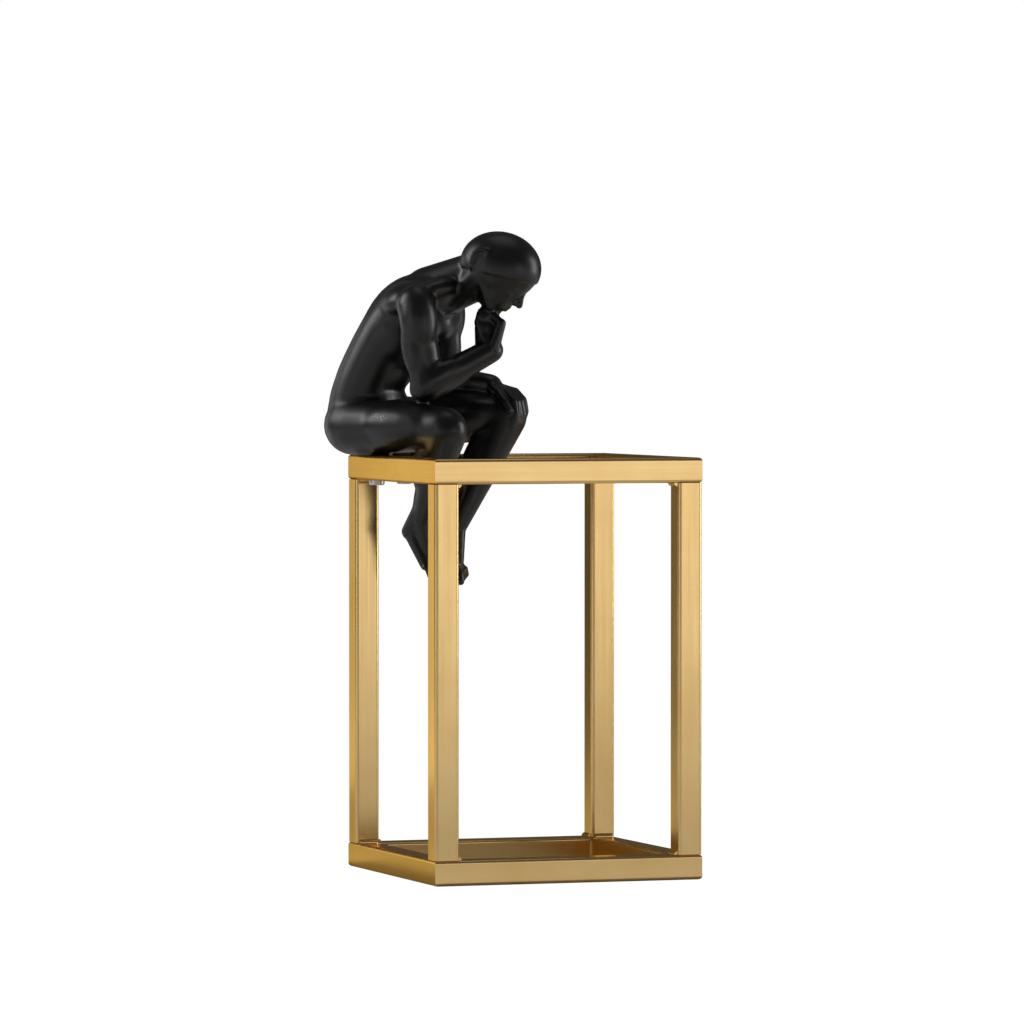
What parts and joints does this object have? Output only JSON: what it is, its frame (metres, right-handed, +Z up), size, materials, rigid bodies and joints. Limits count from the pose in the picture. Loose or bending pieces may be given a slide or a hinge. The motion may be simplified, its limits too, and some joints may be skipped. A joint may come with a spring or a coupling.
{
  "type": "thinker statue",
  "caption": "Seated pondering figure cast in black resin, perched on a corner of an open gold cage of welded square tube; a desk ornament.",
  "frame": {"origin": "bottom middle of the whole ornament's box, on the surface it stands on", "axes": "+Z up, +X to the right along the cage's front, +Y to its back; the figure sits on the back left corner and faces between +X and -Y"},
  "size_m": [0.1122, 0.1124, 0.231],
  "materials": {
    "gold_tube": "satin gold plating on welded steel tube",
    "black_resin": "satin black lacquer on cast resin",
    "zinc_steel": "zinc plated",
    "insert_brass": "plain turned"
  },
  "bodies": {
    "root": {"bottom_rail_front": "gold_tube", "bottom_rail_back": "gold_tube", "bottom_rail_left": "gold_tube", "bottom_rail_right": "gold_tube", "top_rail_front": "gold_tube", "top_rail_back": "gold_tube", "top_rail_left": "gold_tube", "top_rail_right": "gold_tube", "post_front_left": "gold_tube", "post_front_right": "gold_tube", "post_back_left": "gold_tube", "post_back_right": "gold_tube", "bottom_ring_welds": "gold_tube", "top_ring_welds": "gold_tube", "figure": "black_resin", "fixing_screws": "zinc_steel", "threaded_inserts": "insert_brass"}
  },
  "joints": []
}
